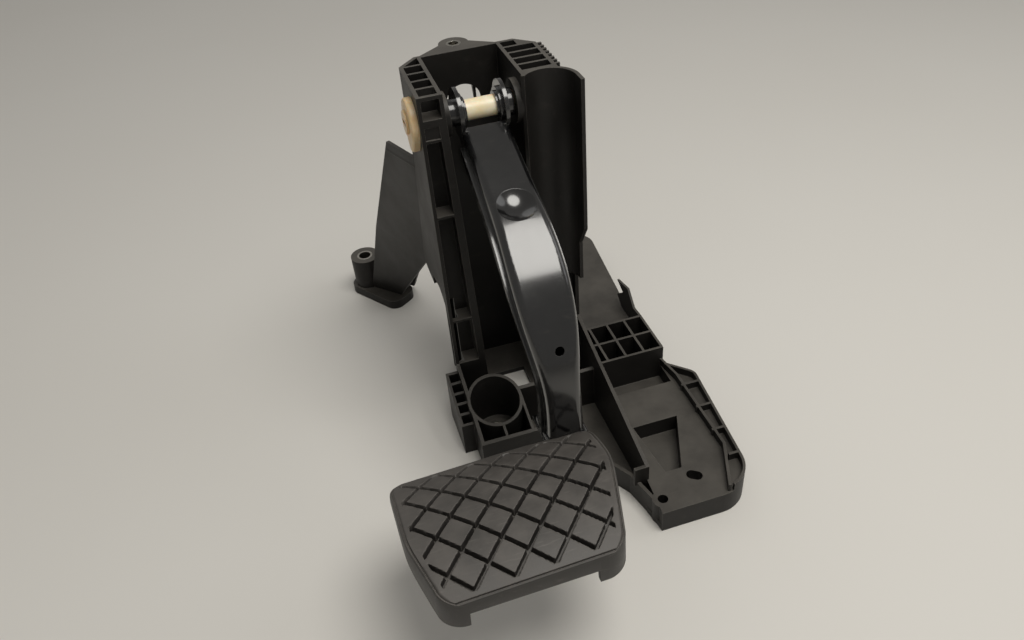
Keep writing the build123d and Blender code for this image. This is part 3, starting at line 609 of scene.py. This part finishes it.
@dataclass
class FootPad(SubAssembly):
    """Steel plate and the crowned rubber pad drawn over it; sizes in millimetres and degrees."""

    # Crown: a lying cylinder, with the place and the slope of its middle
    crown: tuple[float, float, float] = (-27.5, -138.8, 102.0)
    crown_radius: float = 110.6
    lean: float = -7.1
    swing: float = 0.85
    cant: float = 1.4
    # Outline on the crown: its ends, the far edge's dent at the arm, and sides that draw in below a knee
    near: float = -50.0
    far: float = 49.5
    arm_dent: float = 4.5
    dent_start: float = 0.55
    half_width: float = 60.5
    middle: float = 1.5
    taper: float = 0.264
    left_knee: float = -10.0
    right_knee: float = 7.4
    near_corner: float = 9.0
    far_corner: float = 11.0
    # Rounded rim and the fine line inside it
    rim: float = 1.6
    line_depth: float = 1.1
    line_half: float = 0.7
    # Diamond grooves: distance of the crossings across and along, and the section
    groove_across: float = 21.77
    groove_row: float = 11.57
    groove_width: float = 2.3
    groove_depth: float = 4.6
    groove_shallow: float = 0.55
    groove_lip: float = 0.4
    groove_margin: float = 3.6
    # Steps of the tread's grid, crowded in a band at its edges
    step: float = 0.45
    edge_band: float = 4.0
    edge_steps: int = 8
    edge_power: float = 1.5
    # Top face of the steel plate
    plate_middle: tuple[float, float] = (-24.0, -145.0)
    plate_top: float = 88.0
    plate_tilt: float = 3.0
    plate_thickness: float = 3.0
    # Skirt: its shoulder out and down from the rim, and its foot out and up from the hem
    shoulder: tuple[float, float] = (0.15, 0.8)
    skirt_foot: tuple[tuple[float, float], ...] = ((0.5, 1.0), (0.3, 0.3), (-0.4, 0.0))
    hem: float = 4.2
    hem_bead: float = 0.3
    wall: float = 3.0
    lip_share: float = 0.8
    # Legs at the two near corners: length, inner ends, and the places where they are full and where they end
    leg_length: float = 10.0
    leg_ends: tuple[float, float] = (-64.5, 6.0)
    leg_rise: tuple[float, float] = (-187.0, -140.0)
    # Corner of the plate's tab, where the rubber ends above the plate, and its levels over the plate there
    tab_corner: tuple[float, float] = (7.8, -113.0)
    tab_skirt: float = 0.1
    tab_bead: float = 0.05
    tab_shelf: float = 0.15
    # Room for the plate: plan corners, the far side's bow, the gaps under and over the plate, and the share
    # of the way out at which a ring lies under the cover
    pocket: tuple[tuple[float, float], ...] = (
        (-73.5, -186.6),
        (15.5, -186.6),
        (33.9, -111.6),
        (-86.4, -106.6),
    )
    pocket_bow: float = 12.0
    shelf_gap: float = 0.05
    cover_gap: float = 0.3
    cover_ring: float = 0.5

    parts: ClassVar[dict[str, Slot]] = {"foot_plate": Slot.ARM}

    def spread(self, low: float, high: float) -> np.ndarray:
        """Even steps between two limits, crowded in a band at both ends by a power of the step's share.

        Args:
            low: First place.
            high: Last place.

        Returns:
            The places in order.
        """
        ease = self.edge_band * np.linspace(0, 1, self.edge_steps) ** self.edge_power
        count = round((high - low - 2 * self.edge_band) / self.step)
        even = np.linspace(low + self.edge_band, high - self.edge_band, count)
        return np.concatenate([low + ease[:-1], even, (high - ease[:-1])[::-1]])

    def sides(self, along: np.ndarray) -> tuple[np.ndarray, np.ndarray]:
        """Left and right edge of the rim.

        The half width is drawn in below a knee by the logarithm of one plus the exponential of taper times
        the distance, which is a straight taper with a soft start, and at both ends by a quarter circle.

        Args:
            along: Places along the crown, from near to far.

        Returns:
            Left and right edge at each place.
        """
        corner_near = self.near_corner + self.rim
        corner_far = self.far_corner + self.rim
        short_near = np.clip(corner_near - (along - self.near + self.rim), 0, corner_near)
        short_far = np.clip(corner_far - (self.far + self.rim - along), 0, corner_far)
        drawn = corner_near - np.sqrt(corner_near**2 - short_near**2)
        drawn = drawn + corner_far - np.sqrt(corner_far**2 - short_far**2)
        half = self.half_width + self.rim
        left = self.middle - half + np.logaddexp(0, self.taper * (self.left_knee - along)) + drawn
        right = self.middle + half - np.logaddexp(0, self.taper * (self.right_knee - along)) - drawn
        return left, right

    def relief(self, across: np.ndarray, along: np.ndarray, inside: np.ndarray) -> np.ndarray:
        """Height of the tread over the crown.

        Two families of lines cross in diamonds: at half numbers of c + r / 2 and c - r / 2, where c and r
        count the crossings across and along. The depth eases off at a groove's lips, and towards the far
        edge, where the cover is thin. A fine line runs inside the rim, and the rim falls away in a quarter
        circle.

        Args:
            across: Places across the crown.
            along: Places along the crown.
            inside: Distance from the rim's outer edge.

        Returns:
            Height, never above zero.
        """
        column = across / self.groove_across
        row = along / self.groove_row
        pitch = 1 / math.hypot(1 / self.groove_across, 0.5 / self.groove_row)
        first = np.abs((column + row / 2) % 1 - 0.5) * pitch
        second = np.abs((column - row / 2) % 1 - 0.5) * pitch
        lip = (np.minimum(first, second) - self.groove_width / 2) / self.groove_lip
        field = (inside - self.rim - self.groove_margin) / self.groove_lip
        depth = self.groove_depth * (1 - self.groove_shallow * soft_step(along / self.far))
        groove = depth * soft_step(-lip) * soft_step(field)
        line = self.line_depth * soft_step(1 - np.abs(inside - self.rim) / self.line_half)
        short = np.clip(self.rim - inside, 0, self.rim)
        fall = self.rim - np.sqrt(self.rim**2 - short**2)
        return -groove - line - fall

    def crowned(self, across: np.ndarray, along: np.ndarray, height: np.ndarray) -> np.ndarray:
        """Points over a lying cylinder.

        The slope turns evenly from lean along the crown, and height is set off squarely to it.

        Args:
            across: Places along the cylinder's axis.
            along: Places round the cylinder.
            height: Height over it.

        Returns:
            Points with their three numbers in the last axis.
        """
        lean = math.radians(self.lean)
        swing = math.radians(self.swing)
        slope = lean - along / self.crown_radius
        forth = self.crown_radius * (math.sin(lean) - np.sin(slope)) - height * np.sin(slope)
        up = self.crown_radius * (np.cos(slope) - math.cos(lean)) + height * np.cos(slope)
        right = np.array([math.cos(swing), math.sin(swing), math.tan(math.radians(self.cant))])
        ahead = np.array([-math.sin(swing), math.cos(swing), 0.0])
        upward = np.array([0.0, 0.0, 1.0])
        turned = across[..., None] * right + forth[..., None] * ahead + up[..., None] * upward
        return np.array(self.crown) + turned

    def tread(self) -> np.ndarray:
        """Upper face as a grid of rows from near to far and columns from left to right.

        A point lies at its column's share of the way between the two sides. Past the dent's start, rows are
        drawn back by arm_dent times an eased share across and the square of the share along.

        Returns:
            The grid's points.
        """
        low = self.near - self.rim
        high = self.far + self.rim
        rows = self.spread(low, high)
        columns = self.spread(0, 2 * self.half_width) / (2 * self.half_width)
        along, share = np.meshgrid(rows, columns, indexing="ij")
        left, right = self.sides(along)
        across = left + (right - left) * share
        beside = np.minimum(across - left, right - across)
        inside = np.minimum(beside, np.minimum(along - low, high - along))
        dented = soft_step((share - self.dent_start) / (1 - self.dent_start))
        along = along - self.arm_dent * dented * ((along - low) / (high - low)) ** 2
        return self.crowned(across, along, self.relief(across, along, inside))

    def pocket_loop(self, rows: int, columns: int) -> np.ndarray:
        """Plan of the room for the plate: three straight sides and a far side that bows as a parabola.

        Args:
            rows: Points along the tread's sides.
            columns: Points along its ends.

        Returns:
            Plan points in the order of the tread's border.
        """
        corners = np.array(self.pocket)
        sides = []
        for start, count in enumerate((columns, rows, columns, rows)):
            share = np.linspace(0, 1, count)[:-1, None]
            sides.append(corners[start] + (corners[(start + 1) % 4] - corners[start]) * share)
        bow = np.linspace(0, 1, columns)[:-1]
        sides[2][:, 1] += self.pocket_bow * 4 * bow * (1 - bow)
        return np.concatenate(sides)

    def plate_level(self, plan: np.ndarray) -> np.ndarray:
        """Height of the plate's top face, which falls evenly from near to far.

        Args:
            plan: Plan points.

        Returns:
            Height at each point.
        """
        slope = math.tan(math.radians(self.plate_tilt))
        return self.plate_top - slope * (plan[:, 1] - self.plate_middle[1])

    def rings(self, border: np.ndarray, room: np.ndarray) -> np.ndarray:
        """Section carried round the border.

        It runs down the skirt to the hem and legs, in under the plate as a lip, and up the pocket to the
        underside of the cover.

        Args:
            border: Edge points of the tread, counter-clockwise from above.
            room: Plan of the plate's pocket, point for point.

        Returns:
            One ring of points for each station of the section, from the tread down and in.
        """
        plan = border[:, :2]
        ahead = np.roll(plan, -1, axis=0) - np.roll(plan, 1, axis=0)
        out = np.stack([ahead[:, 1], -ahead[:, 0]], axis=1) / np.linalg.norm(ahead, axis=1, keepdims=True)
        middle = np.array(self.plate_middle)
        low, high = self.leg_rise
        left_end, right_end = self.leg_ends
        rise = soft_step((high - plan[:, 1]) / (high - low))
        leg = self.leg_length * rise * ((plan[:, 0] < left_end) | (plan[:, 0] > right_end))
        at_tab = (plan[:, 0] > self.tab_corner[0]) & (plan[:, 1] > self.tab_corner[1])
        seat = self.plate_level(plan)
        skirt = np.where(at_tab, seat + self.tab_skirt, seat - self.hem)
        hem = skirt - np.where(at_tab, self.tab_bead, self.hem_bead + leg)
        under = seat - self.plate_thickness - self.shelf_gap
        shelf = np.where(at_tab, seat + self.tab_shelf, under)
        inner = middle + (plan - middle) * self.lip_share
        half_room = middle + (room - middle) * self.cover_ring
        stations = [
            (plan + out * self.shoulder[0], border[:, 2] - self.shoulder[1]),
            *((plan + out * beyond, hem + above) for beyond, above in self.skirt_foot),
            (plan - out * self.wall, hem),
            (plan - out * self.wall, skirt),
            (inner, skirt),
            (inner, shelf),
            (room, shelf),
            (room, self.plate_level(room) + self.cover_gap),
            (half_room, self.plate_level(half_room) + self.cover_gap),
        ]
        return np.stack([np.column_stack([flat, level]) for flat, level in stations])

    def rubber(self) -> bpy.types.Object:
        """Pad of the tread's grid, the rings round it and a fan that closes the underside.

        Returns:
            The pad, in place of the plain one.
        """
        tread = self.tread()
        rows, columns = tread.shape[:2]
        index = np.arange(rows * columns).reshape(rows, columns)
        border = np.concatenate([index[0, :-1], index[:-1, -1], index[-1, :0:-1], index[:0:-1, 0]])
        rings = self.rings(tread.reshape(-1, 3)[border], self.pocket_loop(rows, columns))
        count = len(border)
        below = rows * columns + np.arange(rings.shape[0] * count).reshape(-1, count)
        loops = np.vstack([border[None, :], below])
        after = np.roll(loops, -1, axis=1)
        middle = np.array([[*self.plate_middle, self.plate_top + self.cover_gap]])
        points = np.concatenate([tread.reshape(-1, 3), rings.reshape(-1, 3), middle])
        top = np.stack([index[:-1, :-1], index[:-1, 1:], index[1:, 1:], index[1:, :-1]], axis=-1)
        skin = np.stack([loops[:-1], loops[1:], after[1:], after[:-1]], axis=-1)
        fan = np.stack([loops[-1], np.full(count, len(points) - 1), after[-1]], axis=-1)
        faces = [*top.reshape(-1, 4).tolist(), *skin.reshape(-1, 4).tolist(), *fan.tolist()]
        pad = new_piece("pad_rubber", points * MILLIMETRE, faces, self.shop.get(Slot.PAD))
        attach(pad, PEDAL_BODY)
        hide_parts("pedal_pad")
        LOG.info("%s drawn over the plate", pad.name)
        return pad


@dataclass
class PedalArm(SubAssembly):
    """The two welded shells, the push rod's socket and the weld at the arm's foot; sizes in metres."""

    foot_band: float = 2.5 * MILLIMETRE
    flange: float = 2.2 * MILLIMETRE
    bead_radius: float = 1.3 * MILLIMETRE
    bead_ripple: float = 0.04
    ripple_pitch: float = 3.2 * MILLIMETRE
    # Share of its radius by which the bead's middle stands off the wall
    bead_stand: float = 0.2
    # Power that squares the path's corners
    squareness: int = 8
    path_steps: int = 720
    ring_steps: int = 12

    parts: ClassVar[dict[str, Slot]] = {
        "arm_front_shell": Slot.ARM,
        "arm_rear_shell": Slot.ARM,
        "rod_socket": Slot.PIN,
    }

    def foot_corners(self) -> tuple[np.ndarray, np.ndarray]:
        """Box of the shells' lowest band, where they stand on the foot plate.

        Returns:
            Lowest and highest corner of the points in that band.
        """
        points = []
        for name in ("arm_front_shell", "arm_rear_shell"):
            mesh = self.nodes[name].data
            flat = np.empty(len(mesh.vertices) * 3)
            mesh.vertices.foreach_get("co", flat)
            points.append(flat.reshape(-1, 3))
        every = np.concatenate(points)
        foot = every[every[:, 2] < every[:, 2].min() + self.foot_band]
        return foot.min(axis=0), foot.max(axis=0)

    def weld(self) -> bpy.types.Object:
        """Ripple-faced bead round the arm's foot.

        A circle is carried along a square with rounded corners, on which the powers of the two shares across
        and along add up to one, stretched to the foot's walls. The circle's radius swells and narrows along
        the way as one plus ripple times a sine, and the path falls with the tilted plate from near to far.

        Returns:
            The bead.
        """
        low, high = self.foot_corners()
        half = (high - low)[:2] / 2 - np.array([self.flange, 0.0])
        upward = np.array([0.0, 0.0, 1.0])
        turn = np.linspace(0, 2 * np.pi, self.path_steps, endpoint=False)
        circle = np.stack([np.cos(turn), np.sin(turn)], axis=1)
        reach = np.sum(np.abs(circle) ** self.squareness, axis=1, keepdims=True) ** (1 / self.squareness)
        path = np.empty((self.path_steps, 3))
        path[:, :2] = (low + high)[:2] / 2 + circle / reach * (half + self.bead_radius * self.bead_stand)
        fall = (path[:, 1] - low[1]) / (high[1] - low[1])
        path[:, 2] = high[2] + (low[2] - high[2]) * np.clip(fall, 0, 1)
        ahead = np.roll(path, -1, axis=0) - np.roll(path, 1, axis=0)
        ahead /= np.linalg.norm(ahead, axis=1, keepdims=True)
        out = np.cross(ahead, upward)
        run = np.cumsum(np.linalg.norm(np.roll(path, -1, axis=0) - path, axis=1))
        waves = np.round(run[-1] / self.ripple_pitch)
        swell = 1 + self.bead_ripple * np.sin(2 * np.pi * waves * run / run[-1])
        ring = np.linspace(0, 2 * np.pi, self.ring_steps, endpoint=False)[None, :, None]
        side = np.cos(ring) * out[:, None, :] + np.sin(ring) * upward
        surface = path[:, None, :] + side * (self.bead_radius * swell)[:, None, None]
        faces = tube_faces(self.path_steps, self.ring_steps)
        bead = new_piece("arm_weld", surface.reshape(-1, 3), faces, self.shop.get(Slot.ARM))
        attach(bead, PEDAL_BODY)
        LOG.info("%s laid round the arm's foot", bead.name)
        return bead


@dataclass(frozen=True)
class CameraFit:
    """Camera fitted to the photograph, in the part's frame: metres, degrees and pixels."""

    place: tuple[float, float, float] = (-0.088, -0.4306, 0.468)
    pitch: float = 39.23
    roll: float = 5.35
    heading: float = 13.82
    focal_px: float = 853.6
    image_width: int = 1024
    sensor_mm: float = 36.0

    def axes(self) -> tuple[Vector, Vector, Vector]:
        """Right, down and forward directions.

        Returns:
            The three unit vectors in the part's frame.
        """
        pitch = math.radians(self.pitch)
        roll = math.radians(self.roll)
        forward = Vector((0, math.cos(pitch), -math.sin(pitch)))
        side = Vector((1, 0, 0))
        below = forward.cross(side)
        right = math.cos(roll) * side + math.sin(roll) * below
        down = -math.sin(roll) * side + math.cos(roll) * below
        turn = Matrix.Rotation(math.radians(-self.heading), 3, "Z")
        return turn @ right, turn @ down, turn @ forward

    def make(self) -> None:
        """Create the camera and make it the scene's own."""
        right, down, forward = self.axes()
        data = bpy.data.cameras.new("camera")
        data.sensor_width = self.sensor_mm
        data.lens = self.sensor_mm * self.focal_px / self.image_width
        camera = bpy.data.objects.new("camera", data)
        turn = Matrix((right, -down, -forward)).transposed().to_4x4()
        camera.matrix_world = Matrix.Translation(self.place) @ turn
        bpy.context.collection.objects.link(camera)
        bpy.context.scene.camera = camera


@dataclass(frozen=True)
class SoftBox:
    """One round area light that looks at a point of the part; metres and watts."""

    name: str
    place: tuple[float, float, float]
    size: float
    power: float
    target: tuple[float, float, float] = (0.03, 0.0, 0.12)
    colour: str = "#ffffff"

    def make(self) -> None:
        """Create the light."""
        data = bpy.data.lights.new(self.name, "AREA")
        data.shape = "DISK"
        data.size = self.size
        data.energy = self.power
        data.color = linear_colour(self.colour)[:3]
        light = bpy.data.objects.new(self.name, data)
        aim = (Vector(self.target) - Vector(self.place)).to_track_quat("-Z", "Y")
        light.matrix_world = Matrix.Translation(self.place) @ aim.to_matrix().to_4x4()
        bpy.context.collection.objects.link(light)


@dataclass
class Studio:
    """Pale floor, soft light and the world's fill; metres unless a name says otherwise."""

    floor_half: float = 6.0
    # Painted board: pale and matt, with a faint cloudiness
    floor_colour: str = "#dfddd8"
    floor_shade: str = "#d9d6d0"
    floor_roughness: float = 0.6
    cloud_mm: float = 500.0
    cloud_detail: float = 3.0
    fill_colour: str = "#fbf8f2"
    fill: float = 0.3
    lights: tuple[SoftBox, ...] = (
        SoftBox("top_box", (0.29, -0.36, 1.25), 0.76, 9.4, (0.05, 0.0, 0.1), "#fffcf6"),
        SoftBox("back_box", (-0.3, 1.4, 1.5), 1.2, 2.0, (0.03, 0.1, 0.05)),
        SoftBox("right_box", (1.3, -0.2, 1.0), 0.9, 2.0),
    )

    def make(self) -> None:
        """Create the floor, the lights and the world."""
        self._floor()
        for light in self.lights:
            light.make()
        world = bpy.data.worlds.new("fill")
        world.use_nodes = True
        background = world.node_tree.nodes["Background"]
        background.inputs["Color"].default_value = linear_colour(self.fill_colour)
        background.inputs["Strength"].default_value = self.fill
        bpy.context.scene.world = world
        bpy.context.scene.view_settings.view_transform = "Standard"

    def _floor(self) -> None:
        """Wide floor with a faint cloudiness."""
        half = self.floor_half
        corners = [(-half, -half, 0.0), (half, -half, 0.0), (half, half, 0.0), (-half, half, 0.0)]
        mesh = bpy.data.meshes.new("floor")
        mesh.from_pydata(corners, [], [(0, 1, 2, 3)])
        floor = bpy.data.objects.new("floor", mesh)
        tree = NodeTree("floor_paint")
        cloud = tree.add(
            "TexNoise",
            "Fac",
            Vector=tree.add("TexCoord", "Object"),
            Scale=1 / (self.cloud_mm * MILLIMETRE),
            Detail=self.cloud_detail,
        )
        paint = tree.add(
            "Mix",
            MaterialShop.MIXED,
            MaterialShop.COLOUR_MIX,
            Factor=cloud,
            i6=linear_colour(self.floor_colour),
            i7=linear_colour(self.floor_shade),
        )
        tree.join(paint, "Base Color")
        tree.shader.inputs["Roughness"].default_value = self.floor_roughness
        mesh.materials.append(tree.material)
        bpy.context.collection.objects.link(floor)


def main() -> None:
    """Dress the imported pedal, lay its weld, draw its pad and set the stage."""
    logging.basicConfig(level=logging.INFO)
    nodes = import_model()["nodes"]
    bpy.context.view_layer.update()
    shop = MaterialShop()
    arm = PedalArm(nodes, shop)
    pad = FootPad(nodes, shop)
    for assembly in (BearingBracket(nodes, shop), Pivot(nodes, shop), arm, pad):
        assembly.dress()
    arm.weld()
    pad.rubber()
    Studio().make()
    CameraFit().make()


if __name__ == "__main__":
    main()
